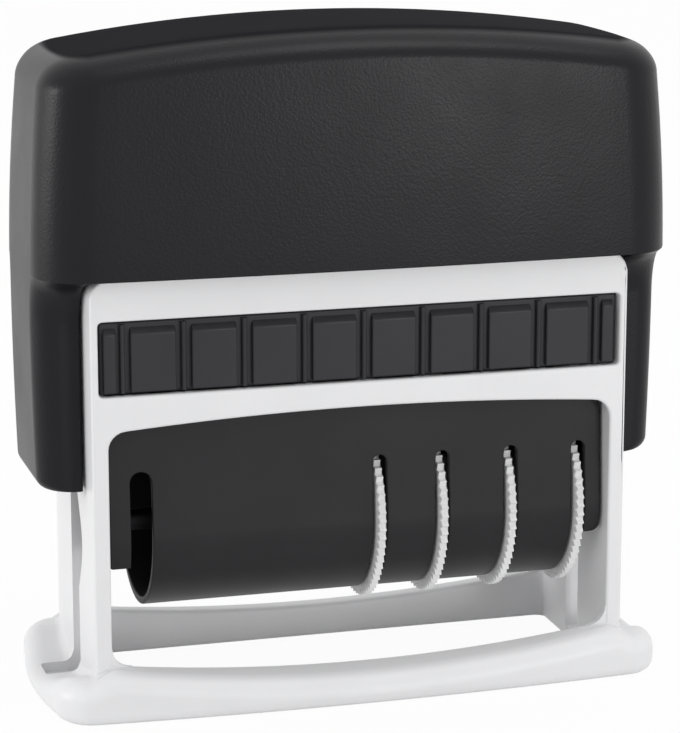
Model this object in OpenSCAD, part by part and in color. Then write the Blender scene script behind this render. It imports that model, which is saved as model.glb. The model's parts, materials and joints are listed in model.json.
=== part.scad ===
// Self-inking date stamp. A drum with date bands rests face up against an ink pad; as the cap is
// pressed down, the drum turns over and prints through the window in the base.
// Millimetres. X runs along the stamp, Y to its back and Z up, from the middle of the base's underside.

/* [Base] */
// How far each end of the base reaches past its leg
base_toe = 4.8; // [4:0.1:7]
// Width of the base's long bars at their middle
base_bar = 4.7; // [4:0.1:6]
// How far the long edges bow out at the middle of the base
base_bow = 1.2; // [0.5:0.1:2.5]
// Corner radius of the base, seen from above
base_corner = 4.5; // [4:0.5:7]
// Height of the base at the legs
base_height = 5.8; // [5.4:0.1:6.2]
// Height of the base's ends, outside the legs
toe_height = 4.2; // [3.8:0.1:4.6]
// How far the top of the base dips at its middle
base_dip = 2; // [1.2:0.1:2.4]
// Gap between the drum cover and the edge of the print window
window_gap = 0.8; // [0.8:0.1:1.2]
// How far the top of each end dips between its corners
toe_dip = 1.8; // [1:0.1:2]
// Half length of that dip
toe_span = 9; // [8:0.5:10]
// Depth of the notch that carries a leg's slot on into the end
notch_depth = 1; // [0.5:0.1:1.2]
// Wall that is left outside that notch
notch_rim = 1; // [0.5:0.1:2]

/* [Frame] */
// Width over the legs
frame_width = 60; // [58:0.5:62]
// Depth of the legs and panels
frame_depth = 22; // [21:0.2:24]
// Thickness of a leg
leg_wall = 1.8; // [1.4:0.1:2.2]
// Thickness of the front and back panels
panel_wall = 1.4; // [1:0.1:1.5]
// Height of the strip under the pad tunnel, at its ends
strip_height = 3.8; // [3.2:0.1:4.4]
// Rise of that strip's lower edge at its middle
strip_arch = 1; // [0.4:0.1:1.4]
// Height of the pad tunnel
tunnel_height = 8.1; // [7.4:0.1:10]
// Wall that is left beside the pad tunnel
tunnel_wall = 0.85; // [0.6:0.05:1.2]
// Thickness of the deck that the springs stand on
deck_wall = 1.5; // [1:0.1:2.5]
// Height of the frame's rim above the deck
rim_height = 3.3; // [2.5:0.1:5]
// Radius of the frame's upper corners
frame_corner = 2.6; // [1:0.1:3]
// Radius of the upper corners of the drum's opening
opening_corner = 2; // [1:0.1:3]

/* [Cap] */
// Thickness of the arms that reach down beside the legs
arm_wall = 5; // [4.6:0.1:7]
// Height of the cap above the lower edge of its skirt
cap_height = 25.4; // [24:0.2:30]
// Wall of the cap
cap_wall = 1.8; // [1.4:0.1:2.4]
// How far the long sides of the cap bow out at their middle
cap_bow = 0.6; // [0.2:0.1:1]
// Corner radius of the cap, seen from above
cap_corner = 6; // [4.5:0.5:7]
// Radius of the cap's top edge
cap_edge = 3.5; // [2.5:0.1:4.2]
// Radius of the cap's arched top along X
top_r = 195; // [150:5:400]
// Radius of the cap's curved ends, from top to bottom
side_r = 238; // [180:2:400]
// How far the arms reach in front of the middle
arm_front = 7.2; // [6:0.1:8]
// How far the arms reach behind the middle
arm_back = 9.4; // [8:0.1:10]
// Radius of the arms' outer faces, from top to bottom
arm_side_r = 600; // [300:10:900]
// Radius of the fillets where the arms meet the skirt
arm_fillet = 5; // [3:0.5:5.5]
// Radius of the arms' upright edges
arm_edge = 1.9; // [0.8:0.1:2.4]
// Radius of the arms' lower outer edge
arm_toe = 1.3; // [0.8:0.1:2.4]

/* [Stroke] */
// Travel of the cap
travel = 19; // [18:0.5:20]
// Distance from the drum's pivot to its printing face
print_reach = 8; // [7.8:0.1:8.6]
// How far the pivot lies behind the middle of the frame
pivot_back = 0; // [-0.2:0.05:0.2]
// Radius of the drum's pivot pins
pivot_r = 1.7; // [1.2:0.1:1.9]
// Distance from the pivot to the follower pins
follower_reach = 3; // [2.9:0.1:3.6]
// Radius of the follower pins
follower_r = 1; // [0.7:0.1:1.2]
// Outside diameter of the return springs
spring_d = 7; // [6:0.2:9]
// Wire diameter of the return springs
spring_wire = 0.8; // [0.5:0.1:1]
// Turns of each return spring
spring_turns = 7; // [5:1:8]
// Distance of each return spring from the middle
spring_x = 16; // [10:0.5:22]

/* [Drum] */
// How far the thumb wheels stand out of the drum cover
wheel_proud = 1.1; // [0.8:0.1:1.3]
// Thickness of a thumb wheel's rim
wheel_rim = 1; // [0.8:0.1:1.5]
// Teeth on a thumb wheel
wheel_teeth = 66; // [48:2:96]
// Height of a tooth
tooth_height = 0.6; // [0.3:0.05:0.7]
// How far the wheel axle lies below the pivot
axle_drop = 8.25; // [8:0.05:8.5]
// Radius of the wheel axle
axle_r = 1.2; // [0.8:0.1:1.5]
// Radius of the hub that a band runs on
hub_r = 4.6; // [4:0.1:5.2]
// Wall of the drum cover
cover_wall = 0.8; // [0.6:0.1:1]
// Room above a thumb wheel in its slot
slot_room = 1.5; // [0.8:0.1:2]
// Width of the drum cover's open slot
spare_slot = 2.4; // [1.8:0.1:3]
// Width of the drum cover left of that slot
left_tab = 2.3; // [1.6:0.1:4]
// How far the drum's end tabs reach below the axle
tab_drop = 2.9; // [2:0.1:5]
// Step between the two day wheels
day_pitch = 7.15; // [7:0.05:8]
// Step between the other wheels
wide_pitch = 7.93; // [7.2:0.01:8.4]
// Width of a date band
band_width = 5; // [4:0.1:5.2]
// Thickness of a date band
band_wall = 0.9; // [0.6:0.1:1.2]
// Depth of the nose that the bands run over
nose_depth = 4.6; // [4:0.1:5.2]
// Height of that nose
nose_height = 2.3; // [1.8:0.1:2.6]
// Depth of the blank text plate
plate_depth = 8; // [6:0.1:9]
// Thickness of the cheeks at the drum's ends
cheek_wall = 1.3; // [1:0.1:1.4]

/* [Ink pad] */
// Depth of the felt
pad_depth = 12; // [10:0.5:14]
// Thickness of the felt
pad_height = 4; // [3:0.2:5]
// Wall of the pad tray beside the felt
tray_wall = 2.2; // [1.5:0.1:3]
// Number of grip tiles on the tray's face
tile_count = 8; // [6:1:10]
// Width of the plain field at each end of the tiles
tile_field = 2.42; // [1.5:0.02:4]
// Width of the groove between two tiles
tile_groove = 1.72; // [1.2:0.02:2.4]
// How far the grip tiles stand out
tile_height = 0.6; // [0.3:0.05:0.9]

/* [Fits] */
// Gap between parts that slide past each other
slide_gap = 0.3; // [0.2:0.05:0.4]
// Gap between the drum cover and the panels
cover_gap = 0.2; // [0.15:0.05:0.4]
// Gap between the cap's skirt and the panels
skirt_gap = 0.4; // [0.3:0.05:0.6]
// Gap at each side of a thumb wheel
wheel_gap = 0.3; // [0.2:0.05:0.4]
// Gap between the last thumb wheel and the cheek beside it
last_gap = 0.85; // [0.4:0.05:1.2]
// Gap between a pressed arm and the end of the base
arm_gap = 1.2; // [0.6:0.1:2]
// Gap round the pins in the slots of the legs
slot_gap = 0.25; // [0.15:0.05:0.3]
// Radial clearance of a pin that turns in a bore
run_clear = 0.05; // [0.02:0.01:0.1]

/* [Hidden] */
$fn = 64;
// Faces of the rounded ends that a hull joins
hull_fn = 32;
// A cut runs this far past the face that it opens
past = 1;
// Height of a flat slice in a hull
sheet = 0.01;
black = "#37373b";
white = "#e9e9ea";
felt_black = "#1b1b1f";
rubber_grey = "#55555a";
steel = "silver";

// Heights, from the table up
print_gap = 0.1;
pad_gap = 0.3;
pivot_z = travel + print_reach + print_gap;
axle_z = pivot_z - axle_drop;
print_z = pivot_z + print_reach;
tunnel_z = print_z + pad_gap;
strip_z = tunnel_z - strip_height;
tunnel_top = tunnel_z + tunnel_height;
deck_top = tunnel_top + deck_wall;
frame_top = deck_top + rim_height;
skirt_z = frame_top - slide_gap;
cap_top = skirt_z + cap_height;
roof_z = cap_top - cap_wall;
arm_z = toe_height + arm_gap + travel;
notch_z = toe_height - toe_dip - notch_depth;

// Half sizes, from the middle out
leg_out = frame_width / 2;
leg_in = leg_out - leg_wall;
panel_out = frame_depth / 2;
panel_in = panel_out - panel_wall;
cap_y = panel_out + skirt_gap + cap_wall;
arm_in = leg_out + slide_gap;
cap_half = arm_in + arm_wall;
drum_half = leg_in - slide_gap;
cheek_in = drum_half - cheek_wall;
cover_r = panel_in - cover_gap;
window_y = cover_r + window_gap;
base_half = leg_out + base_toe;
base_y = window_y + base_bar;

// The cap is widest this far below its skirt, and its ends curve in from there
widest_drop = 3;
side_z = skirt_z - widest_drop;
function side_x(z) = cap_half - side_r + sqrt(side_r * side_r - (z - side_z) * (z - side_z));
function arm_x(z) = cap_half - arm_side_r + sqrt(arm_side_r * arm_side_r - (z - side_z) * (z - side_z));
function arch_drop(x) = top_r - sqrt(top_r * top_r - x * x);

// Pins of the drum, and the half width of the channel that they slide in
channel_r = pivot_r + slot_gap;
bore_depth = 3;
pin_gap = 0.2;

// Thumb wheels, counted from the left, and their bands
wheel_r = cover_r + wheel_proud;
wheel_slot = wheel_rim + 2 * wheel_gap;
last_wheel_x = cheek_in - last_gap - wheel_rim / 2;
wheel_x = [last_wheel_x - 2 * wide_pitch - day_pitch, last_wheel_x - 2 * wide_pitch,
    last_wheel_x - wide_pitch, last_wheel_x];
band_gap = 0.25;
hub_length = band_width + 2 * band_gap;
nose_space = 0.05;
nose_edge = 0.6;
nose_top = print_z - band_wall - nose_space;

// Drum cover: its slots reach past the wheels where these leave its wall
cover_inner_r = cover_r - cover_wall;
cover_lap = 0.8;
back_drop = 0.6;
cover_front_z = strip_z + cover_lap;
cover_back_z = strip_z - back_drop;
tab_z = axle_z - tab_drop;
spare_x = drum_half - left_tab - spare_slot / 2;
wheel_rise = sqrt(wheel_r * wheel_r - cover_inner_r * cover_inner_r);
round_top = (wheel_slot - sqrt(wheel_slot * wheel_slot - wheel_rim * wheel_rim)) / 2;
slot_top = axle_z + wheel_rise + slot_room + round_top;

// Text plate, left of the first band
plate_gap = 1;
plate_wall = 1.1;
plate_end = wheel_x[0] - wheel_rim / 2 - hub_length - plate_gap;

// Springs
seat_gap = 0.05;
spring_foot = deck_top + seat_gap;
spring_head = roof_z - arch_drop(spring_x) - seat_gap;
peg_gap = 0.4;
peg_r = spring_d / 2 - spring_wire - peg_gap;
peg_height = 2.6;
spring_sides = 6;
spring_rings = 8;

// Ink pad tray
tray_side_gap = 0.25;
tray_set_back = 0.3;
tray_half = leg_out - tunnel_wall - tray_side_gap;
tray_y = panel_out - tray_set_back - tile_height;
tray_lift = 0.1;
tray_head = 0.2;
tray_z = tunnel_z + tray_lift;
tray_top = tunnel_top - tray_head;
tile_pitch = 2 * (tray_half - tile_field) / tile_count;
tile_width = tile_pitch - tile_groove;
end_tile = tile_field - tile_groove / 2;
tile_bevel = 1.2;
rib_width = 0.5;
felt_gap = 0.1;

// Outline in Y and Z, pulled along X and centred
module along_x(length) {
    translate([-length / 2, 0, 0]) rotate([90, 0, 90]) linear_extrude(length) children();
}

// Outline in X and Z, pulled along Y and centred
module along_y(depth) {
    translate([0, depth / 2, 0]) rotate([90, 0, 0]) linear_extrude(depth) children();
}

// Rectangle from one corner to the other
module span(low, high) {
    translate(low) square(high - low);
}

// Box from one corner to the other
module block(low, high) {
    translate(low) cube(high - low);
}

// Rectangle with round corners, from one corner to the other
module round_span(low, high, r) {
    span([low.x + r, low.y], [high.x - r, high.y]);
    span([low.x, low.y + r], [high.x, high.y - r]);
    for (x = [low.x + r, high.x - r], y = [low.y + r, high.y - r]) translate([x, y]) circle(r);
}

// The same part on both sides of the middle
module both_ends() {
    children();
    mirror([1, 0, 0]) children();
}

// Plan of the base: round corners, and long edges that bow out as arcs
module base_plan() {
    end = base_half - base_corner;
    bow_r = (end * end + base_bow * base_bow) / (2 * base_bow);
    bow_y = bow_r - base_y;
    corner_y = sqrt((bow_r - base_corner) * (bow_r - base_corner) - end * end) - bow_y;
    touch = bow_r / (bow_r - base_corner);
    touch_x = end * touch;
    touch_y = (corner_y + bow_y) * touch - bow_y;
    intersection() {
        translate([0, bow_y]) circle(bow_r, $fn = 360);
        translate([0, -bow_y]) circle(bow_r, $fn = 360);
        square([2 * touch_x, 2 * base_y], center = true);
    }
    polygon([for (s = [1, -1]) each [[s * touch_x, -s * touch_y], [s * base_half, -s * corner_y],
        [s * base_half, s * corner_y], [s * touch_x, s * touch_y]]]);
    for (x = [-end, end], y = [-corner_y, corner_y]) translate([x, y]) circle(base_corner);
}

// Front view of the legs and panels
module frame_front() {
    arch_half = leg_in - opening_corner;
    arch_r = (arch_half * arch_half + strip_arch * strip_arch) / (2 * strip_arch);
    tunnel_corner = 0.4;
    difference() {
        union() {
            span([-leg_out, base_height / 2], [leg_out, frame_top - frame_corner]);
            round_span([-leg_out, strip_z], [leg_out, frame_top], frame_corner);
        }
        intersection() {
            round_span([-leg_in, -base_height], [leg_in, strip_z + strip_arch], opening_corner);
            translate([0, strip_z + strip_arch - arch_r]) circle(arch_r, $fn = 360);
        }
        round_span([-leg_out + tunnel_wall, tunnel_z], [leg_out - tunnel_wall, tunnel_top], tunnel_corner);
    }
}

// Where a follower pin stands at a turn of the drum, in degrees
function follower_at(turn) = [pivot_back - follower_reach * sin(turn),
    pivot_z - travel * turn / 180 - follower_reach * cos(turn)];

// Direction square to the follower's path there, towards the front
function follower_side(turn) = let (n = [follower_reach * sin(turn) - travel / PI,
    follower_reach * cos(turn)]) n / norm(n);

// Side view of a leg's slot: the pivot's straight channel, down into the base, and the follower's track
module leg_slot() {
    track_r = follower_r + slot_gap;
    steps = 24;
    span([pivot_back - channel_r, notch_z], [pivot_back + channel_r, pivot_z]);
    translate([pivot_back, pivot_z]) circle(channel_r);
    polygon([for (i = [0:steps]) let (turn = 180 * i / steps)
        follower_at(turn) + track_r * follower_side(turn)]);
}

// Space above one end of the base, whose top dips between its corners
module toe_space() {
    toe_r = (toe_span * toe_span + toe_dip * toe_dip) / (2 * toe_dip);
    block([leg_out, -2 * base_y, toe_height], [base_half + past, 2 * base_y, base_height + past]);
    translate([leg_out, 0, toe_height - toe_dip + toe_r]) rotate([0, 90, 0])
        cylinder(r = toe_r, h = base_toe + past, $fn = 180);
}

module base_frame() color(white) {
    dip_r = (leg_in * leg_in + base_dip * base_dip) / (2 * base_dip);
    difference() {
        union() {
            difference() {
                linear_extrude(base_height) base_plan();
                translate([0, 0, base_height - base_dip + dip_r]) rotate([90, 0, 0])
                    cylinder(r = dip_r, h = 2 * base_y + 2 * past, center = true, $fn = 720);
            }
            along_y(frame_depth) frame_front();
            for (s = [-1, 1]) translate([s * spring_x, 0, tunnel_top])
                cylinder(r = peg_r, h = deck_wall + peg_height);
        }
        block([-leg_in, -window_y, -past], [leg_in, window_y, base_height + past]);
        block([-leg_in, -panel_in, base_height], [leg_in, panel_in, tunnel_z]);
        difference() {
            block([-leg_in, -panel_in, deck_top], [leg_in, panel_in, frame_top + past]);
            for (s = [-1, 1]) translate([s * spring_x, 0, deck_top])
                cylinder(r = peg_r, h = peg_height);
        }
        along_x(frame_width + 2 * past) leg_slot();
        both_ends() {
            toe_space();
            block([leg_in, pivot_back - channel_r, notch_z],
                [base_half - notch_rim, pivot_back + channel_r, toe_height]);
        }
    }
}

// Round-edged ring at one corner of the cap's block
module corner_ring(x, y, z, r, edge) {
    translate([x, y, z]) rotate_extrude($fn = hull_fn) intersection() {
        translate([r - edge, 0]) circle(edge, $fn = 16);
        span([0, -edge], [r, edge]);
    }
}

// Solid block of the cap or of its hollow, set in by a wall
module cap_block(inset, bow, foot_z) {
    r = cap_corner - inset;
    edge = cap_edge - inset;
    shoulder_z = cap_top - cap_edge - arch_drop(cap_half);
    waist_z = (skirt_z + shoulder_z) / 2;
    top_x = side_x(shoulder_z) - cap_corner;
    steps = 3;
    shares = [for (i = [-steps:steps]) i / steps];
    hull() {
        for (a = shares, s = [-1, 1]) corner_ring(top_x * a, s * (cap_y - cap_corner - bow * a * a),
            cap_top - cap_edge - arch_drop(top_x * a), r, edge);
        for (z = [foot_z, waist_z], a = shares, s = [-1, 1])
            translate([(side_x(max(z, skirt_z)) - cap_corner) * a,
                s * (cap_y - cap_corner - bow * a * a), z])
                cylinder(r = r, h = sheet, $fn = hull_fn);
    }
}

// Front view of one arm: a slightly curved outer face and a round toe
module arm_profile() {
    toe_x = arm_x(arm_z + arm_toe) - arm_toe;
    intersection() {
        translate([cap_half - arm_side_r, side_z]) circle(arm_side_r, $fn = 1440);
        union() {
            span([arm_in, arm_z], [toe_x, skirt_z + past]);
            span([arm_in, arm_z + arm_toe], [cap_half, skirt_z + past]);
            translate([toe_x, arm_z + arm_toe]) circle(arm_toe);
        }
    }
}

// Side view of the fillets that widen an arm into the skirt, larger at the front
module arm_gusset() {
    back_fillet = cap_y - cap_bow - arm_back;
    front_y = -arm_front - arm_fillet;
    back_y = arm_back + back_fillet;
    difference() {
        union() {
            span([front_y, skirt_z - arm_fillet], [0, skirt_z + past]);
            span([0, skirt_z - back_fillet], [back_y, skirt_z + past]);
        }
        translate([front_y, skirt_z - arm_fillet]) circle(arm_fillet);
        translate([back_y, skirt_z - back_fillet]) circle(back_fillet);
    }
}

// One arm with its fillets
module arm() {
    gusset_z = skirt_z - arm_fillet;
    intersection() {
        along_y(2 * cap_y) arm_profile();
        union() {
            translate([0, 0, arm_z]) linear_extrude(skirt_z + past - arm_z)
                round_span([0, -arm_front], [cap_half, arm_back], arm_edge);
            intersection() {
                along_x(2 * cap_half) arm_gusset();
                translate([0, 0, gusset_z]) linear_extrude(arm_fillet + past)
                    round_span([-cap_half, -cap_y + cap_bow], [cap_half, cap_y - cap_bow], cap_corner);
            }
        }
    }
}

module cap_shell() color(black) {
    bore_r = pivot_r + run_clear;
    difference() {
        union() {
            difference() {
                cap_block(0, cap_bow, skirt_z);
                cap_block(cap_wall, 0, skirt_z - past);
            }
            both_ends() arm();
            for (s = [-1, 1]) translate([s * spring_x, 0, roof_z - peg_height - arch_drop(spring_x)])
                cylinder(r = peg_r, h = peg_height + cap_wall / 2);
        }
        both_ends() translate([arm_in - past, pivot_back, pivot_z]) rotate([0, 90, 0])
            cylinder(r = bore_r, h = bore_depth + past);
    }
}

// Points of one round of the spring's wire, at a share of the way up
function spring_round(share, low, high) = let (
    turn = 360 * spring_turns * share,
    r = (spring_d - spring_wire) / 2,
    z = low + spring_wire / 2 + (high - low - spring_wire) * share)
    [for (k = [0:spring_sides - 1]) let (a = 360 * k / spring_sides)
        [(r + spring_wire / 2 * cos(a)) * cos(turn), (r + spring_wire / 2 * cos(a)) * sin(turn),
            z + spring_wire / 2 * sin(a)]];

// Wire coiled from one height to another
module coil(low, high) {
    rounds = spring_turns * spring_rings;
    n = spring_sides;
    points = [for (i = [0:rounds]) each spring_round(i / rounds, low, high)];
    sides = [for (i = [0:rounds - 1], k = [0:n - 1]) let (a = i * n + k, b = i * n + (k + 1) % n)
        each [[a, a + n, b], [b, a + n, b + n]]];
    ends = [for (k = [1:n - 2]) each [[0, k, k + 1], [rounds * n, rounds * n + k + 1, rounds * n + k]]];
    polyhedron(points, concat(sides, ends));
    least = min([for (i = [0:rounds - spring_rings], k = [0:n - 1], m = [0:n - 1])
        norm(points[i * n + k] - points[(i + spring_rings) * n + m])]);
    echo(least_gap_of_the_coil_to_itself = least);
}

module return_spring(x) color(steel) translate([x, 0, 0]) coil(spring_foot, spring_head);
module return_spring_left() return_spring(-spring_x);
module return_spring_right() return_spring(spring_x);

// Section of a grip tile, with a slope at its top
module tile_section() {
    polygon([[-tray_y, tray_z], [-tray_y - tile_height, tray_z],
        [-tray_y - tile_height, tray_top - tile_bevel], [-tray_y, tray_top - tile_bevel + tile_height]]);
}

// Grip tiles and the thin ribs between them, on one long face of the tray
module tray_grip() {
    first_x = tile_field - tray_half;
    for (i = [0:tile_count]) let (x = first_x + i * tile_pitch)
        block([x - rib_width / 2, -tray_y - tile_height, tray_z], [x + rib_width / 2, -tray_y, tray_top]);
    for (i = [0:tile_count - 1]) translate([first_x + (i + 0.5) * tile_pitch, 0, 0])
        along_x(tile_width) tile_section();
    both_ends() translate([tray_half - end_tile / 2, 0, 0]) along_x(end_tile) tile_section();
}

// Space for the felt in the underside of the tray
module felt_space(gap) {
    block([-tray_half + tray_wall + gap, pivot_back - pad_depth / 2 + gap, tray_z],
        [tray_half - tray_wall - gap, pivot_back + pad_depth / 2 - gap, tray_z + pad_height]);
}

module pad_tray() color(black) difference() {
    union() {
        block([-tray_half, -tray_y, tray_z], [tray_half, tray_y, tray_top]);
        tray_grip();
        mirror([0, 1, 0]) tray_grip();
    }
    translate([0, 0, -past]) felt_space(0);
    felt_space(0);
}

module ink_pad() color(felt_black) felt_space(felt_gap);

// Cut for a slot in the drum cover, with a round top and open below
module cover_slot(x, width) {
    translate([x, 0, 0]) along_y(3 * cover_r) {
        span([-width / 2, axle_z - 2 * cover_r], [width / 2, slot_top - width / 2]);
        translate([0, slot_top - width / 2]) circle(width / 2);
    }
}

// Section of the space inside the drum cover
module cover_inside() {
    translate([0, axle_z]) circle(cover_inner_r);
    span([-cover_inner_r, axle_z], [cover_inner_r, cover_front_z + past]);
}

module drum_cover() color(black) {
    below = axle_z - 2 * cover_r;
    difference() {
        along_x(2 * drum_half) difference() {
            union() {
                translate([0, axle_z]) circle(cover_r);
                span([-cover_r, axle_z], [0, cover_front_z]);
                span([0, axle_z], [cover_r, cover_back_z]);
            }
            cover_inside();
        }
        for (x = wheel_x) cover_slot(x, wheel_slot);
        cover_slot(-spare_x, spare_slot);
        block([last_wheel_x, -2 * cover_r, below], [drum_half + past, 2 * cover_r, tab_z]);
        block([-drum_half - past, -2 * cover_r, below], [-spare_x, 2 * cover_r, tab_z]);
    }
}

// End plate of the drum, at the right, with its pivot and follower pins
module cheek() {
    bore_end = cheek_in + cheek_wall / 2;
    pin_end = arm_in + bore_depth - pin_gap;
    follower_end = leg_out - pin_gap;
    difference() {
        union() {
            translate([cheek_in + cheek_wall / 2, 0, 0]) along_x(cheek_wall) intersection() {
                cover_inside();
                span([-cover_r, tab_z], [cover_r, cover_back_z]);
            }
            translate([cheek_in, pivot_back, pivot_z]) rotate([0, 90, 0])
                cylinder(r = pivot_r, h = pin_end - cheek_in);
            translate([cheek_in, pivot_back, pivot_z - follower_reach]) rotate([0, 90, 0])
                cylinder(r = follower_r, h = follower_end - cheek_in);
        }
        translate([cheek_in - past, 0, axle_z]) rotate([0, 90, 0])
            cylinder(r = axle_r + run_clear, h = bore_end - cheek_in + past);
    }
}

module right_cheek() color(black) cheek();
module left_cheek() color(black) mirror([1, 0, 0]) cheek();

module wheel_axle() color(steel) {
    axle_half = cheek_in + cheek_wall / 2 - run_clear;
    translate([-axle_half, 0, axle_z]) rotate([0, 90, 0]) cylinder(r = axle_r, h = 2 * axle_half);
}

// Toothed rim with the hub that carries a band at its left
module thumb_wheel(x) color(white) translate([x, 0, axle_z]) difference() {
    step = 360 / wheel_teeth;
    root_r = wheel_r - tooth_height;
    root_share = 0.3;
    tip_share = 0.16;
    union() {
        along_x(wheel_rim) polygon([for (i = [0:wheel_teeth - 1], k = [[-root_share, root_r],
            [-tip_share, wheel_r], [tip_share, wheel_r], [root_share, root_r]])
            k[1] * [cos(step * (i + k[0])), sin(step * (i + k[0]))]]);
        translate([-wheel_rim / 2 - hub_length, 0, 0]) rotate([0, 90, 0])
            cylinder(r = hub_r, h = hub_length + wheel_rim / 2);
    }
    rotate([0, 90, 0]) cylinder(r = axle_r + run_clear, h = 4 * hub_length, center = true);
}

module day_tens_wheel() thumb_wheel(wheel_x[0]);
module day_units_wheel() thumb_wheel(wheel_x[1]);
module month_wheel() thumb_wheel(wheel_x[2]);
module year_wheel() thumb_wheel(wheel_x[3]);

// Section of the space inside a band, grown by the band's thickness
module band_section(grow) {
    hub_space = 0.3;
    hull() {
        translate([0, axle_z]) circle(hub_r + hub_space + grow, $fn = 48);
        for (s = [-1, 1]) translate([pivot_back + s * (nose_depth / 2 - nose_edge), nose_top - nose_edge])
            circle(nose_edge + nose_space + grow, $fn = 24);
    }
}

// Endless rubber band round a wheel's hub and over the nose
module date_band(x) color(rubber_grey) {
    translate([x - wheel_rim / 2 - hub_length / 2, 0, 0]) along_x(band_width) difference() {
        band_section(band_wall);
        band_section(0);
    }
}

module day_tens_band() date_band(wheel_x[0]);
module day_units_band() date_band(wheel_x[1]);
module month_band() date_band(wheel_x[2]);
module year_band() date_band(wheel_x[3]);

// Bar between the cheeks whose upper side is the nose under the bands
module band_bridge() color(white) {
    translate([(plate_end + cheek_in) / 2, pivot_back, nose_top - nose_height]) along_x(cheek_in - plate_end)
        round_span([-nose_depth / 2, 0], [nose_depth / 2, nose_height], nose_edge);
}

// Fins on the nose that keep the bands apart
module band_guides() color(white) for (x = wheel_x) {
    block([x - wheel_rim / 2, pivot_back - nose_depth / 2, nose_top],
        [x + wheel_rim / 2 - band_gap, pivot_back + nose_depth / 2, nose_top + band_wall / 2]);
}

module text_plate_holder() color(black) {
    block([-cheek_in, pivot_back - plate_depth / 2, nose_top - nose_height],
        [plate_end, pivot_back + plate_depth / 2, print_z - plate_wall]);
}

module text_plate() color(rubber_grey) {
    block([-cheek_in, pivot_back - plate_depth / 2, print_z - plate_wall],
        [plate_end, pivot_back + plate_depth / 2, print_z]);
}

base_frame();
cap_shell();
return_spring_left();
return_spring_right();
pad_tray();
ink_pad();
drum_cover();
left_cheek();
right_cheek();
wheel_axle();
day_tens_wheel();
day_units_wheel();
month_wheel();
year_wheel();
day_tens_band();
day_units_band();
month_band();
year_band();
band_bridge();
band_guides();
text_plate_holder();
text_plate();
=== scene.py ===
# %% [markdown]
# This lesson dresses a self-inking date stamp. Its measured parts come first, as a fixed frame: they
# say where everything is and how it moves. Each later step then makes one piece or one finish around
# that frame. Lengths below are in millimetres, because that is how such a stamp is drawn, and they
# become metres only when a mesh is made.

# %% Load the measured parts
import json
import math

import bmesh
import bpy
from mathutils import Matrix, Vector


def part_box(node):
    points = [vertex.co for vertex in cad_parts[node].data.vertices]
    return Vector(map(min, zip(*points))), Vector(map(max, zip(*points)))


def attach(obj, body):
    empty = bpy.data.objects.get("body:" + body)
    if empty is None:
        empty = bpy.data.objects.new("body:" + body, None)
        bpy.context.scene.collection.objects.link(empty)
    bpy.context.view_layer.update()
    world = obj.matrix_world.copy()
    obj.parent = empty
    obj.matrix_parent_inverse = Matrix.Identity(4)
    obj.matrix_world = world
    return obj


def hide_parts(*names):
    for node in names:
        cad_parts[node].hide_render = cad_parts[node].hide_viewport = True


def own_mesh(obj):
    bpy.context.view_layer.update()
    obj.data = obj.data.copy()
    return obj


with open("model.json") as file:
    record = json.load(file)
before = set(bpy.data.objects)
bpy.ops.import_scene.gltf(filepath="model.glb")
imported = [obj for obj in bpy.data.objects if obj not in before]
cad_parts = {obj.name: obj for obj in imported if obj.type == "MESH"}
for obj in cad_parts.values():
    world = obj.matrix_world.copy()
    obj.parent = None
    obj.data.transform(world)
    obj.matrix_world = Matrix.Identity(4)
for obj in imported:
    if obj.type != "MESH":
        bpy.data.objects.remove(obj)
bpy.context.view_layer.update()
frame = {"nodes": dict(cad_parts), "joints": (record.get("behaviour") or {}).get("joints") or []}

MM = 0.001


def box_mm(node):
    """Lowest and highest corner of a measured part, in millimetres."""
    low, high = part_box(node)
    return low / MM, high / MM


# %% [markdown]
# The camera stands where the photographer stood: left of the stamp, a little above it, with a long
# lens. A long lens keeps the upright edges almost parallel, as product pictures do. The place and the
# focal length were found by fitting the straight edges of the frame.

# %% Camera
CAMERA_AT = Vector((-86.22, -303.12, 107.22))
LOOKS_AT = Vector((0.276, 0.0, 34.611))
FOCAL_LENGTH = 142.8

camera = bpy.data.objects.new("camera", bpy.data.cameras.new("camera"))
camera.data.lens = FOCAL_LENGTH
camera.data.clip_start = 0.01
camera.location = CAMERA_AT * MM
camera.rotation_euler = (LOOKS_AT - CAMERA_AT).to_track_quat("-Z", "Y").to_euler()
bpy.context.scene.collection.objects.link(camera)
bpy.context.scene.camera = camera
bpy.context.scene.view_settings.view_transform = "Standard"
print("camera stands", round((LOOKS_AT - CAMERA_AT).length), "mm away")

# %% [markdown]
# A shader is a graph of nodes, and a graph is slow to read when every link is its own line. So one
# small class stands for an output socket. Plain arithmetic on it adds Math nodes, also with the number
# in front, as in 1 - mask. Every other node comes from one method: its settings are set first, because
# some of them change which sockets the node has.

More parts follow.
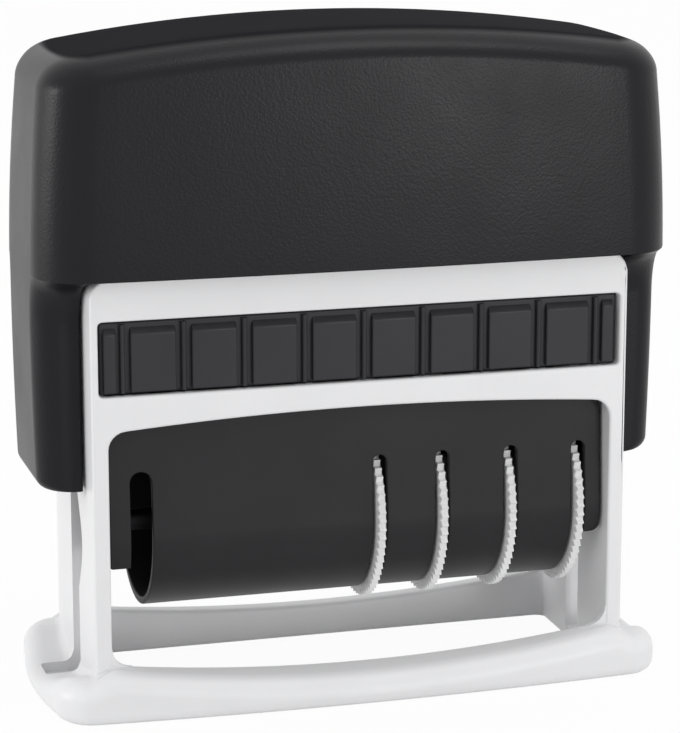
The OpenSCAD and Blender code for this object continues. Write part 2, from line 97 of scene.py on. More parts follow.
# %% A socket that can be reckoned with
class Wire:
    """An output socket of a node tree."""

    def __init__(self, tree, socket=None):
        self.tree = tree
        self.socket = socket

    def add(self, kind, settings=None, inputs=None, output=0):
        """Adds a node and returns one of its outputs."""
        node = self.tree.nodes.new(kind)
        for name, value in (settings or {}).items():
            if name == "stops":
                self.set_stops(node.color_ramp, value)
            else:
                setattr(node, name, value)
        for name, value in (inputs or {}).items():
            if isinstance(value, Wire):
                self.tree.links.new(value.socket, node.inputs[name])
            else:
                node.inputs[name].default_value = value
        return Wire(self.tree, node.outputs[output] if node.outputs else None)

    @staticmethod
    def set_stops(ramp, stops):
        """Gives a colour ramp its stops, each a place and a grey level."""
        while len(ramp.elements) < len(stops):
            ramp.elements.new(1.0)
        for element, (place, grey) in zip(ramp.elements, stops):
            element.position = place
            element.color = (grey, grey, grey, 1.0)

    def math(self, operation, first, second):
        """Adds a Math node for two numbers or sockets."""
        return self.add("ShaderNodeMath", {"operation": operation}, {0: first, 1: second})

    def __add__(self, other):
        return self.math("ADD", self, other)

    def __radd__(self, other):
        return self.math("ADD", other, self)

    def __sub__(self, other):
        return self.math("SUBTRACT", self, other)

    def __rsub__(self, other):
        return self.math("SUBTRACT", other, self)

    def __mul__(self, other):
        return self.math("MULTIPLY", self, other)

    def __rmul__(self, other):
        return self.math("MULTIPLY", other, self)


print("operators ready:", [name for name in vars(Wire) if name.startswith("__r")])

# %% [markdown]
# The stage is a pale floor under soft light from everywhere. A broad soft box behind the left end
# shapes the stamp, one above it lights the cap's edge, a small one sets a spark on the cap's corner,
# and a low one in front fills. To the camera the floor is lifted towards white by a share of plain
# emission, so the background is white without more light on the stamp, and a soft shadow still shows.

# %% Floor, world and lamps
AMBIENT = 0.75
FLOOR_LIFT = 0.95
FLOOR_HALF = 3.0
STAMP_MIDDLE = Vector((0, 0, 35))


def cleared(owner):
    """Start of an empty node tree for a material or a world."""
    owner.use_nodes = True
    owner.node_tree.nodes.clear()
    return Wire(owner.node_tree)


def shown(start):
    """One for rays that show the background, to the eye, in a gloss or through glass."""
    rays = [start.add("ShaderNodeLightPath", output=ray)
            for ray in ("Is Camera Ray", "Is Glossy Ray", "Is Transmission Ray")]
    return start.add("ShaderNodeClamp", inputs={"Value": rays[0] + rays[1] + rays[2]})


def floor_finish():
    """Pale floor that the camera sees almost white."""
    material = bpy.data.materials.new("floor_pale")
    start = cleared(material)
    paper = start.add("ShaderNodeBsdfDiffuse", inputs={"Color": (0.86, 0.86, 0.86, 1.0)})
    white = start.add("ShaderNodeEmission", inputs={"Color": (1.0, 1.0, 1.0, 1.0), "Strength": 1.0})
    mixed = start.add("ShaderNodeMixShader", inputs={0: shown(start) * FLOOR_LIFT, 1: paper, 2: white})
    start.add("ShaderNodeOutputMaterial", inputs={"Surface": mixed})
    return material


def studio_world():
    """Soft light from all around, white where the background is seen or mirrored."""
    world = bpy.data.worlds.new("studio")
    start = cleared(world)
    strength = AMBIENT + shown(start) * (1.0 - AMBIENT)
    sky = start.add("ShaderNodeBackground", inputs={"Color": (1.0, 1.0, 1.0, 1.0), "Strength": strength})
    start.add("ShaderNodeOutputWorld", inputs={"Surface": sky})
    return world


def lamp(name, spot, size, watts):
    """Square soft box that faces the middle of the stamp."""
    light = bpy.data.lights.new(name, "AREA")
    light.size = size * MM
    light.energy = watts
    holder = bpy.data.objects.new(name, light)
    holder.location = Vector(spot) * MM
    holder.rotation_euler = (STAMP_MIDDLE - Vector(spot)).to_track_quat("-Z", "Y").to_euler()
    bpy.context.scene.collection.objects.link(holder)


floor_mesh = bpy.data.meshes.new("floor")
floor_corners = [(x * FLOOR_HALF, y * FLOOR_HALF, 0.0) for x, y in ((-1, -1), (1, -1), (1, 1), (-1, 1))]
floor_mesh.from_pydata(floor_corners, [], [(0, 1, 2, 3)])
floor_mesh.materials.append(floor_finish())
floor = bpy.data.objects.new("floor", floor_mesh)
bpy.context.scene.collection.objects.link(floor)
bpy.context.scene.world = studio_world()
lamp("left_box", (-470, 120, 60), 240, 0.5)
lamp("corner_box", (-542, 38, 128), 80, 0.45)
lamp("top_box", (135, -105, 540), 220, 0.55)
lamp("front_box", (230, -560, 75), 110, 0.65)
print("floor reaches", FLOOR_HALF, "m each way")

# %% [markdown]
# Moulded plastic is never quite even. A mould that was spark-eroded leaves fine round pits, a polished
# one leaves a satin skin with faint flow marks, and handling dulls or shines parts of it. All of the
# plastics here come from one recipe: a fine noise for the grain, a broad noise for uneven shine, and a
# thin scatter of lighter specks. Only the amounts differ. On the cap, the faces that look up are made
# dull and almost without reflection: this is painted shade, which stands in for a dark studio above
# the stamp, not a real difference in the plastic.

# %% Plastics
PATCH_SIZE, DUST_SIZE = 9.0, 0.5
SHINE_SPREAD = 0.12
# Painted shade: the dull, almost unreflecting finish that the cap's upward faces get, standing in for a dark
# studio above.
PAINTED_TOP_SHADE = {"Roughness": 0.9, "Specular IOR Level": 0.04}
UPWARD_FROM, UPWARD_FULL = 0.92, 0.985


def new_finish(name):
    """An empty material and the coordinates of a point on the piece, in metres."""
    material = bpy.data.materials.new(name)
    return material, cleared(material).add("ShaderNodeTexCoord", output="Object")


def close_finish(material, start, inputs, share=None, others=None):
    """Ends a material in one shader with these inputs, or in two that are mixed by a share."""
    shader = start.add("ShaderNodeBsdfPrincipled", inputs=inputs)
    if others:
        second = start.add("ShaderNodeBsdfPrincipled", inputs=others)
        shader = start.add("ShaderNodeMixShader", inputs={0: share, 1: shader, 2: second})
    start.add("ShaderNodeOutputMaterial", inputs={"Surface": shader})
    return material


def noise(place, size, detail=2.0):
    """Even noise whose grains are about this many millimetres across."""
    inputs = {"Vector": place, "Scale": 1.0 / (size * MM), "Detail": detail}
    return place.add("ShaderNodeTexNoise", inputs=inputs)


def tint(share, dark, light):
    """Colour between two, by a share."""
    inputs = {0: share, 6: (*dark, 1.0), 7: (*light, 1.0)}
    return share.add("ShaderNodeMix", {"data_type": "RGBA"}, inputs, output=2)


def ramp(share, low, high):
    """Share that climbs smoothly from nought to one between two values."""
    inputs = {"Value": share, "From Min": low, "From Max": high}
    return share.add("ShaderNodeMapRange", {"interpolation_type": "SMOOTHSTEP"}, inputs)


def bumps(height, strength, depth):
    """Normals that follow a height, over a depth in millimetres."""
    inputs = {"Height": height, "Strength": strength, "Distance": depth * MM}
    return height.add("ShaderNodeBump", inputs=inputs)


def stretched(place, factors):
    """Coordinates multiplied by a factor along each axis."""
    return place.add("ShaderNodeVectorMath", {"operation": "MULTIPLY"}, {0: place, 1: factors})


def plastic(name, dark, light, rough, grain, pit_depth, specular=0.4, paint_top_shade=False):
    """Moulded plastic: two tones, a mean roughness, and pits of a size and depth in millimetres."""
    material, place = new_finish(name)
    pits = noise(place, grain)
    patches = noise(place, PATCH_SIZE, 3.0)
    dust = noise(place, DUST_SIZE, 4.0)
    colour = tint(0.75 * patches + 0.5 * ramp(dust, 0.64, 0.8), dark, light)
    shine = rough + SHINE_SPREAD / 2 - SHINE_SPREAD * patches
    inputs = {"Base Color": colour, "Roughness": shine, "Normal": bumps(pits, 0.5, pit_depth),
              "Specular IOR Level": specular}
    if not paint_top_shade:
        return close_finish(material, place, inputs)
    # Painted shade: faces that look up are mixed towards the dull finish, so that the top reads dark.
    facing = place.add("ShaderNodeTexCoord", output="Normal")
    upward = place.add("ShaderNodeSeparateXYZ", inputs={0: facing}, output="Z")
    return close_finish(material, place, inputs, ramp(upward, UPWARD_FROM, UPWARD_FULL), {**inputs, **PAINTED_TOP_SHADE})


# The cap's plastic carries painted shade on its upward faces.
cap_black = plastic("cap_black", (0.008, 0.008, 0.0095), (0.013, 0.013, 0.0155), 0.35, 0.3, 0.05, 0.17, True)
tray_black = plastic("tray_black", (0.02, 0.02, 0.0225), (0.031, 0.031, 0.035), 0.38, 0.12, 0.01, 0.25)
drum_black = plastic("drum_black", (0.013, 0.0128, 0.0142), (0.021, 0.0206, 0.0225), 0.45, 0.12, 0.012, 0.2)
frame_white = plastic("frame_white", (0.76, 0.76, 0.77), (0.83, 0.83, 0.84), 0.4, 0.15, 0.006, 0.35)
wheel_white = plastic("wheel_white", (0.76, 0.76, 0.76), (0.84, 0.84, 0.84), 0.42, 0.15, 0.006, 0.35)
print("plastics:", [m.name for m in (cap_black, tray_black, drum_black, frame_white, wheel_white)])

# %% [markdown]
# Outlines come before solids. Most of this stamp is drawn with straight lines and round corners, so
# one helper rounds the corners of any outline, another pulls an outline along an axis, and a third
# skins a row of rings. Booleans then cut and weld, as a mould maker would, and a bevel takes the
# sharpness off every edge that is left.

# %% Outlines and solids
POINT_GAP = 0.002


def arc(centre, radius, start, end, steps):
    """Points along an arc, from one angle to another in degrees."""
    turns = [math.radians(start + (end - start) * i / steps) for i in range(steps + 1)]
    return [(centre[0] + radius * math.cos(t), centre[1] + radius * math.sin(t)) for t in turns]


def circle(centre, radius, sides):
    """Points round a full circle."""
    return arc(centre, radius, 0, 360 - 360 / sides, sides - 1)


def rounded(corners, steps=6):
    """Outline through corners that each have a radius."""
    points = []
    for i, (x, y, radius) in enumerate(corners):
        here = Vector((x, y))
        back = (Vector(corners[i - 1][:2]) - here).normalized()
        ahead = (Vector(corners[(i + 1) % len(corners)][:2]) - here).normalized()
        half = back.angle(ahead) / 2
        centre = here + (back + ahead).normalized() * radius / math.sin(half)
        first = here + back * radius / math.tan(half) - centre
        last = here + ahead * radius / math.tan(half) - centre
        start = math.degrees(math.atan2(first.y, first.x))
        sweep = (math.degrees(math.atan2(last.y, last.x)) - start + 180) % 360 - 180
        points += arc(centre, radius, start, start + sweep, steps) if radius else [(x, y)]
    return points


def close_gaps(mesh, gap):
    """Joins points that are nearer than a gap and turns all faces outward."""
    shape = bmesh.new()
    shape.from_mesh(mesh)
    bmesh.ops.remove_doubles(shape, verts=shape.verts, dist=gap * MM)
    bmesh.ops.dissolve_degenerate(shape, edges=shape.edges, dist=gap * MM / 2)
    bmesh.ops.recalc_face_normals(shape, faces=shape.faces)
    shape.to_mesh(mesh)
    shape.free()


def piece_from(name, points, faces):
    """Closed mesh from points in millimetres."""
    mesh = bpy.data.meshes.new(name)
    mesh.from_pydata([Vector(p) * MM for p in points], [], faces)
    close_gaps(mesh, POINT_GAP)
    piece = bpy.data.objects.new(name, mesh)
    bpy.context.scene.collection.objects.link(piece)
    return piece


def prism(name, outline, axis, low, high):
    """Outline pulled along an axis, from one place to another."""
    turns = {"X": lambda a, b, h: (h, a, b),
             "Y": lambda a, b, h: (a, h, b),
             "Z": lambda a, b, h: (a, b, h)}
    count = len(outline)
    points = [turns[axis](a, b, h) for h in (low, high) for a, b in outline]
    sides = [(i, (i + 1) % count, count + (i + 1) % count, count + i) for i in range(count)]
    ends = [tuple(range(count)), tuple(range(count, 2 * count))]
    return piece_from(name, points, sides + ends)


def loft(name, rings, ring_shaped=False):
    """Skin over rings of equally many points, with end faces or closed on itself."""
    count = len(rings[0])
    points = [p for ring in rings for p in ring]
    last = len(rings) if ring_shaped else len(rings) - 1
    faces = []
    for k in range(last):
        a, b = k * count, (k + 1) % len(rings) * count
        faces += [(a + i, a + (i + 1) % count, b + (i + 1) % count, b + i) for i in range(count)]
    if not ring_shaped:
        faces += [tuple(range(count)), tuple(range(len(points) - count, len(points)))]
    return piece_from(name, points, faces)


def box(name, low, high):
    """Block from one corner to the other."""
    outline = [(low[0], low[1]), (high[0], low[1]), (high[0], high[1]), (low[0], high[1])]
    return prism(name, outline, "Z", low[2], high[2])


print("arc of", len(arc((0, 0), 1, 0, 90, 6)), "points for a quarter turn")

# %% [markdown]
# A moulding is easiest to think of as blocks that are cut and welded. Each cut or weld is a Boolean
# modifier that becomes part of the mesh at once, so that the next step sees plain faces. A bevel then
# rounds the edges, and smooth shading with weighted normals keeps broad faces flat. The last helper
# hands a finished piece over: its material, its body, and the measured part that it stands for.

# %% Cutting, welding and softening
SHARP_ANGLE = 40


def settle(piece):
    """Makes a piece's modifiers part of its mesh."""
    shaped = piece.evaluated_get(bpy.context.evaluated_depsgraph_get())
    mesh = bpy.data.meshes.new_from_object(shaped)
    piece.modifiers.clear()
    piece.data = mesh
    return piece


def combine(piece, operation, tools, careful=False):
    """Boolean of a piece with each tool in turn, which is used up; careful minds a piece's own crossings."""
    for tool in tools:
        step = piece.modifiers.new(operation, "BOOLEAN")
        step.operation = operation
        step.solver = "EXACT"
        step.use_self = careful
        step.object = tool
        settle(piece)
        bpy.data.objects.remove(tool)
    return piece


def cut(piece, *tools, careful=False):
    """Takes the tools away from a piece."""
    return combine(piece, "DIFFERENCE", tools, careful)


def weld(piece, *tools, careful=False):
    """Joins the tools to a piece."""
    return combine(piece, "UNION", tools, careful)


def soften(piece, width, steps=3, angle=SHARP_ANGLE):
    """Rounds every edge that is sharper than an angle."""
    close_gaps(piece.data, width / 8)
    bevel = piece.modifiers.new("soft edges", "BEVEL")
    bevel.width = width * MM
    bevel.segments = steps
    bevel.angle_limit = math.radians(angle)
    bevel.use_clamp_overlap = False
    return settle(piece)


def shade(piece, angle=SHARP_ANGLE):
    """Smooth shading that keeps flat faces flat."""
    piece.data.shade_smooth()
    piece.data.set_sharp_from_angle(angle=math.radians(angle))
    normals = piece.modifiers.new("even normals", "WEIGHTED_NORMAL")
    normals.keep_sharp = True
    return settle(piece)


def place(piece, body, slot, finish, *nodes):
    """Hands a finished piece, with its finish, to its body and measured parts; slot is not used."""
    piece.data.materials.clear()
    piece.data.materials.append(finish)
    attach(piece, body)
    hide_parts(*nodes)
    spans = [[round(c[i] / MM, 2) for c in piece.bound_box] for i in range(3)]
    print(piece.name, "has", len(piece.data.polygons), "faces within", [(min(s), max(s)) for s in spans])
    return piece


print("edges are softened from", SHARP_ANGLE, "degrees")

# %% [markdown]
# The measured parts give almost every size that the looks need. The drum gives the place of the legs
# and panels beside it, the tray gives the tunnel around it, and the cap gives its own box. Only walls
# and small gaps are named here, and how far a cutting tool reaches clear of what it cuts.

# %% Sizes from the frame
SLIDE_GAP = 0.3
COVER_GAP = 0.2
WINDOW_GAP = 0.8
LEG_WALL = 1.8
PANEL_WALL = 1.4
DECK_WALL = 1.5
TRAY_FOOT_GAP, TRAY_TOP_GAP = 0.1, 0.2
CLEAR = 1.0

base_high = box_mm("base_frame")[1]
cap_low, cap_high = box_mm("cap_shell")
tray_low, tray_high = box_mm("pad_tray")
drum_low, drum_high = box_mm("drum_cover")
joints = {joint["name"]: joint for joint in frame["joints"]}
pivot_z = joints["drum_flip"]["pos_m"][2] / MM
travel = -joints["cap_press"]["range_m"][0] / MM

drum_half, cover_r = drum_high.x, drum_high.y
axle_z = drum_low.z + cover_r
leg_in = drum_half + SLIDE_GAP
leg_out = leg_in + LEG_WALL
panel_in = cover_r + COVER_GAP
panel_out = panel_in + PANEL_WALL
window_y = cover_r + WINDOW_GAP
frame_top = base_high.z
tunnel_z, tunnel_top = tray_low.z - TRAY_FOOT_GAP, tray_high.z + TRAY_TOP_GAP
deck_top = tunnel_top + DECK_WALL
skirt_z = frame_top - SLIDE_GAP
print("legs", round(leg_in, 2), "to", round(leg_out, 2))
print("axle at", round(axle_z, 2), "deck at", round(deck_top, 2))

# %% [markdown]
# The white frame is one moulding: a base ring, two legs, a front and a back panel with the tunnel for
# the ink pad, and a deck for the springs. The base has no sharp edge anywhere, so it is skinned over
# rings that follow its outline and roll over at the top and the bottom.

# %% Base ring
BASE_HEIGHT = 5.8
BASE_DIP = 2.0
TOE_HEIGHT = 4.4
TOE_DIP = 2.0
TOE_SPAN = 9.0
TOE_ROOT = 1.3
UNDER_ARM = 5.0
OUTWARD_FALL = 0.45
BASE_CORNER = 4.5
BASE_BOW = 1.2
END_SWELL = 0.45
END_BOW = 0.9
BASE_TOP_EDGE = 2.0
BASE_FOOT_EDGE = 1.1
WINDOW_EDGE = 0.45
WINDOW_CORNER = 1.0
TOP_STEPS = 14
ALMOST_STRAIGHT = 0.001
HAIR = 0.06


def plan(half_x, half_y, corner, bow=ALMOST_STRAIGHT, side_steps=12, corner_steps=8):
    """Outline from above with round corners, whose long sides bow out as arcs."""
    end = half_x - corner
    bow_r = (end * end + bow * bow) / (2 * bow)
    bow_y = half_y - bow_r
    corner_y = math.sqrt((bow_r - corner) ** 2 - end * end) + bow_y
    lean = math.degrees(math.atan2(corner_y - bow_y, end))
    quarter = [(half_x, corner_y * i / side_steps) for i in range(side_steps)]
    quarter += arc((end, corner_y), corner, 0, lean, corner_steps)[:-1]
    quarter += arc((0, bow_y), bow_r, lean, 90, side_steps)
    back = quarter[::-1]
    return (quarter[:-1] + [(-x, y) for x, y in back[:-1]]
            + [(-x, -y) for x, y in quarter[:-1]] + [(x, -y) for x, y in back[:-1]])


def smooth(share):
    """Climbs gently from nought to one."""
    share = min(max(share, 0.0), 1.0)
    return share * share * (3 - 2 * share)


def toe_top(across, along):
    """Height of an end's upper side: a hollow between its corners that climbs to the leg."""
    hollow = TOE_HEIGHT - TOE_DIP * max(0.0, 1 - (along / TOE_SPAN) ** 2)
    root = min(TOE_ROOT, UNDER_ARM - hollow)
    near = min(max(1 - (across - leg_out) / root, 0.0), 1.0)
    return hollow + root * (1 - math.sqrt(1 - near * near))


def base_top(x, y):
    """Height of the base's upper side: low at the middle, high at the legs, hollow at the ends."""
    across, along = abs(x), abs(y)
    arch = BASE_HEIGHT - BASE_DIP * max(0.0, 1 - (across / leg_in) ** 2)
    share = smooth((across - leg_in) / LEG_WALL)
    fall = OUTWARD_FALL * smooth((along - window_y) / (base_high.y - window_y)) * (1 - share)
    return arch + (toe_top(across, along) - BASE_HEIGHT) * share - fall


def end_fall(x, y):
    """How far an end of the base falls back beside its middle."""
    return END_BOW * min(1.0, (y / TOE_SPAN) ** 2) * smooth((abs(x) - leg_in) / (base_high.x - leg_in))


def edge_share(x, y):
    """Share of the top edge's rounding that the base is high enough for."""
    return min(1.0, (base_top(x, y) - BASE_FOOT_EDGE - HAIR) / BASE_TOP_EDGE)


def base_ring():
    """Ring of the base with rolled edges round the print window."""
    rings = []

    def outside(inset):
        outline = plan(base_high.x + END_SWELL - inset, base_high.y - inset, BASE_CORNER - inset, BASE_BOW)
        return [(x - math.copysign(end_fall(x, y), x), y) for x, y in outline]

    def inside(grow):
        return plan(leg_in + HAIR + grow, window_y + grow, WINDOW_CORNER + grow)

    def level(outline, z):
        rings.append([(x, y, z) for x, y in outline])

    def top(outline, dz):
        rings.append([(x, y, base_top(x, y) + dz * edge_share(x, y)) for x, y in outline])

    level(inside(WINDOW_EDGE), 0)
    for dx, dz in arc((BASE_FOOT_EDGE, BASE_FOOT_EDGE), BASE_FOOT_EDGE, 270, 180, 4):
        level(outside(dx), dz)
    for dx, dz in arc((BASE_TOP_EDGE, -BASE_TOP_EDGE), BASE_TOP_EDGE, 180, 90, 6):
        top(outside(dx), dz)
    pairs = list(zip(outside(BASE_TOP_EDGE), inside(WINDOW_EDGE)))
    for i in range(1, TOP_STEPS):
        share = i / TOP_STEPS
        top([(a[0] + (b[0] - a[0]) * share, a[1] + (b[1] - a[1]) * share) for a, b in pairs], 0)
    for dx, dz in arc((WINDOW_EDGE, -WINDOW_EDGE), WINDOW_EDGE, 90, 180, 3):
        top(inside(dx), dz)
    level(inside(0), WINDOW_EDGE)
    return loft("base_ring", rings, ring_shaped=True)


ring = base_ring()
print("base ring has", len(ring.data.polygons), "faces")
print("top at the middle", round(base_top(0, window_y), 2), "at an end", round(base_top(base_high.x, 0), 2))

# %% [markdown]
# The legs and panels are drawn from the front and pulled through the depth, as the mould would pull.
# The arched opening, the pad tunnel and the two hollows are then cut out. Each leg's slot has two
# parts: a straight channel for the drum's pivot, and a bulge for the follower pin that turns the drum.

# %% Legs and panels
FRAME_CORNER = 2.6
OPENING_CORNER = 2.0
STRIP_ARCH = 1.0
COVER_LAP = 0.8
TUNNEL_WALL = 0.85
TUNNEL_CORNER = 0.5
FRAME_EDGE = 0.32
BELOW = -5.0
ROOM_LAP = 0.1
CHANNEL_R = 1.95
TRACK_R, TRACK_REACH, TRACK_STEPS = 1.25, 3.0, 24
NOTCH_DROP = 1.0
NOTCH_Z = TOE_HEIGHT - TOE_DIP - NOTCH_DROP
NOTCH_RIM = 1.0

strip_z = drum_high.z - COVER_LAP


def opening_outline():
    """Front view of the drum's opening, with an arched top between two round corners."""
    half = leg_in - OPENING_CORNER
    arch_r = (half * half + STRIP_ARCH * STRIP_ARCH) / (2 * STRIP_ARCH)
    lean = math.degrees(math.asin(half / arch_r))
    corner_z = strip_z - OPENING_CORNER
    top = arc((0, strip_z + STRIP_ARCH - arch_r), arch_r, 90 - lean, 90 + lean, 24)
    right = arc((half, corner_z), OPENING_CORNER, 0, 90 - lean, 6)
    left = arc((-half, corner_z), OPENING_CORNER, 90 + lean, 180, 6)
    return [(leg_in, BELOW)] + right[:-1] + top + left[1:] + [(-leg_in, BELOW)]


def slot_tools(half):
    """Tools for a slot through the legs: the pivot's channel and the follower's bulge."""
    channel = [(-CHANNEL_R, NOTCH_Z), (CHANNEL_R, NOTCH_Z)] + arc((0, pivot_z), CHANNEL_R, 0, 180, 12)
    bulge = []
    for i in range(TRACK_STEPS + 1):
        turn = math.pi * i / TRACK_STEPS
        across, along = TRACK_REACH * math.sin(turn), TRACK_REACH * math.cos(turn)
        z = pivot_z - travel * i / TRACK_STEPS - along
        side = Vector((across - travel / math.pi, along)).normalized()
        bulge.append((-across + TRACK_R * side.x, z + TRACK_R * side.y))
    return [prism("slot", channel, "X", -half, half), prism("slot", bulge, "X", -half, half)]


def frame_body():
    """Legs, panels and deck."""
    front = [(-leg_out, 2 * HAIR, 0), (leg_out, 2 * HAIR, 0),
             (leg_out, frame_top, FRAME_CORNER), (-leg_out, frame_top, FRAME_CORNER)]
    body = prism("frame", rounded(front, 8), "Y", -panel_out, panel_out)
    tunnel_x = leg_out - TUNNEL_WALL
    tunnel = [(x, z, TUNNEL_CORNER) for x, z in ((-tunnel_x, tunnel_z), (tunnel_x, tunnel_z),
                                                 (tunnel_x, tunnel_top), (-tunnel_x, tunnel_top))]
    cut(body, prism("opening", opening_outline(), "Y", -2 * panel_out, 2 * panel_out),
        prism("tunnel", rounded(tunnel, 4), "Y", -2 * panel_out, 2 * panel_out),
        box("drum_room", (-leg_in, -panel_in, BASE_HEIGHT), (leg_in, panel_in, tunnel_z + ROOM_LAP)),
        box("deck_room", (-leg_in, -panel_in, deck_top), (leg_in, panel_in, frame_top + CLEAR)))
    return soften(body, FRAME_EDGE)


body = frame_body()
print("legs and panels have", len(body.data.polygons), "faces")

# %% [markdown]
# Where a leg meets the base, the moulding has a fillet, because a sharp inner corner would crack. The
# fillets are small prisms with a hollow side. The spring pegs on the deck and the slots of the legs,
# whose foot turns outward into the ends of the base as a notch, finish the frame.

# %% Fillets, pegs, slots and notches
FILLET_R = 2.2
FILLET_ROOT, FILLET_LAP = 0.8, 0.5
PEG_R = 2.3
PEG_HEIGHT = 2.6
PEG_TIP, PEG_SIDES = 0.5, 24
DECK_ROOT = 0.5
SLOT_PAST = 0.6
SPRING_X = 16.0
NOTCH_CORNER = 0.35


def fillet(side, front):
    """Fillet between a leg's inner face and one bar of the base."""
    foot_z = base_top(leg_in - FILLET_R, window_y)
    near, far = leg_in - FILLET_R, leg_in + FILLET_LAP
    low_z, high_z = foot_z - FILLET_ROOT, foot_z + FILLET_R
    outline = arc((near, high_z), FILLET_R, 0, -90, 8) + [(near, low_z), (far, low_z), (far, high_z)]
    ends = sorted((front * (window_y + HAIR), front * (panel_out - 2 * HAIR)))
    return prism("fillet", [(side * x, z) for x, z in outline], "Y", *ends)


def peg(x, foot_z, top_z):
    """Round peg with a softened tip, on a deck or under a roof."""
    tip_z = top_z - math.copysign(PEG_TIP, top_z - foot_z)
    rings = [[(x + px, py, z) for px, py in circle((0, 0), r, PEG_SIDES)]
             for z, r in ((foot_z, PEG_R), (tip_z, PEG_R), (top_z, PEG_R - PEG_TIP))]
    return loft("peg", rings)


def pegs(foot_z, top_z):
    """One peg for each spring."""
    return [peg(side * SPRING_X, foot_z, top_z) for side in (-1, 1)]


def notch(side):
    """Tool for the foot of a leg's slot, which runs outward into one end of the base."""
    near, far, half = side * (leg_in + HAIR), side * (base_high.x - NOTCH_RIM), CHANNEL_R - HAIR
    corners = [(near, -half, 0), (far, -half, NOTCH_CORNER), (far, half, NOTCH_CORNER), (near, half, 0)]
    return prism("notch", rounded(corners, 4), "Z", NOTCH_Z + HAIR, BASE_HEIGHT)


fillets = [fillet(side, front) for side in (-1, 1) for front in (-1, 1)]
base = weld(body, ring, *fillets, *pegs(tunnel_top + DECK_ROOT, deck_top + PEG_HEIGHT), careful=True)
cut(base, *slot_tools(leg_out + SLOT_PAST), notch(1), notch(-1), careful=True)
base.name = "frame_moulding"
place(shade(base), "frame", "frame_white", frame_white, "base_frame")

# %% [markdown]
# The cap is what the hand presses. It is a hollow block whose top is arched, whose ends curve in a
# little, and whose top edge is broken by a broad soft bevel. Two arms reach down outside the legs and
# carry the drum. Block and arms are skinned separately: the hair-fine step where they meet is the
# parting line of the mould, which shows on the real cap too.

# %% Cap
CAP_WALL = 1.8
CAP_BOW = 0.6
CAP_CORNER = 6.0
HOLLOW_CORNER = 3.6
LEAST_CORNER = 0.5
CAP_EDGE = 3.2
EDGE_DEPTH = 5.3
END_SHARE = 0.8
BACK_SHARE = 0.65
END_BULGE = 1.2
RIDGE_SHARE = 0.8
TOP_R = 195.0
SIDE_R = 238.0
WIDEST_DROP = 3.0
FACE_FALL = 0.45
SKIRT_EDGE = 0.12
SIDE_STEPS, EDGE_STEPS, RIDGE_STEPS = 8, 12, 4

cap_half, cap_y, cap_top, arm_z = cap_high.x, cap_high.y, cap_high.z, cap_low.z


def side_x(z):
    """Half width of the cap at a height."""
    return cap_half - SIDE_R + math.sqrt(SIDE_R ** 2 - (z - skirt_z + WIDEST_DROP) ** 2)


def arch_drop(x):
    """How far the arched top lies below its middle."""
    return TOP_R - math.sqrt(TOP_R ** 2 - x * x)


def cap_rings(inset, foot_z, bow, corner, fall):
    """Rings of the cap's block or of its hollow, from the skirt to the ridge of the top."""
    rings = []
    edge, edge_depth = CAP_EDGE - inset, EDGE_DEPTH - inset

    def height(x, share):
        return foot_z + (cap_top - inset - edge - arch_drop(x) - foot_z) * share

    def ring(share, roll, rise):
        end_z = height(cap_half, share)
        depth = cap_y - inset - roll - fall * share ** 2
        half = side_x(max(end_z, skirt_z)) - inset - roll * END_SHARE
        back = 1 + roll * (1 - BACK_SHARE) / depth
        bulge = END_BULGE * roll / (EDGE_DEPTH * half)
        outline = [(x * (1 + bulge * (1 - (y / depth) ** 2)), y * (back if y > 0 else 1))
                   for x, y in plan(half, depth, max(corner - roll, LEAST_CORNER), bow)]
        rings.append([(x, y, height(x, share) + rise) for x, y in outline])

    for i in range(SIDE_STEPS + 1):
        ring(i / SIDE_STEPS, 0, 0)
    for i in range(1, EDGE_STEPS + 1):
        turn = math.pi / 2 * i / EDGE_STEPS
        ring(1, edge_depth * (1 - math.cos(turn)), edge * math.sin(turn))
    rim = rings[-1]
    for i in range(1, RIDGE_STEPS + 1):
        share = 1 - i / RIDGE_STEPS
        along = RIDGE_SHARE + (1 - RIDGE_SHARE) * share
        rings.append([(x * along, y * share, cap_top - inset - arch_drop(x * along)) for x, y, _ in rim])
    return rings


cap = loft("cap", cap_rings(0, skirt_z, CAP_BOW, CAP_CORNER, FACE_FALL))
cut(cap, loft("hollow", cap_rings(CAP_WALL, skirt_z - CLEAR, ALMOST_STRAIGHT, HOLLOW_CORNER, 0.0)))
soften(cap, SKIRT_EDGE, steps=2, angle=60)
print("cap block has", len(cap.data.polygons), "faces")

# %% [markdown]
# The arms are flat bars with a nearly upright outer face. Their foot is cut off straight, with a small
# round edge outside, and their top widens in a hollow curve until it has the outline of the block. So
# each arm is skinned over rings that are the block's outline, narrowed, and cut off at the leg.

# %% Arms of the cap
ARM_FRONT, ARM_BACK = 7.2, 9.4
ARM_EDGE = 2.8
ARM_TOE = 1.3
ARM_SIDE_R = 600.0
ARM_SOFT = 0.25
ARM_ROOT, ARM_TAPER = 1.0, 0.3
FLARE_DROP = 5.4
ARM_STEPS, FLARE_STEPS = 8, 10
PARTING_STEP = 0.05
PIVOT_BORE_R = 1.75
BORE_DEPTH = 3.0
BORE_SIDES = 48
ROOF_ROOT = 0.6

arm_in = leg_out + SLIDE_GAP


def flare(z, reach):
    """Depth of an arm at a height, which widens to the block's through a hollow quarter circle."""
    radius = cap_y - CAP_BOW - PARTING_STEP - reach
    climb = min(max(z - skirt_z + radius, 0.0), radius)
    return reach + radius - math.sqrt(radius ** 2 - climb ** 2)


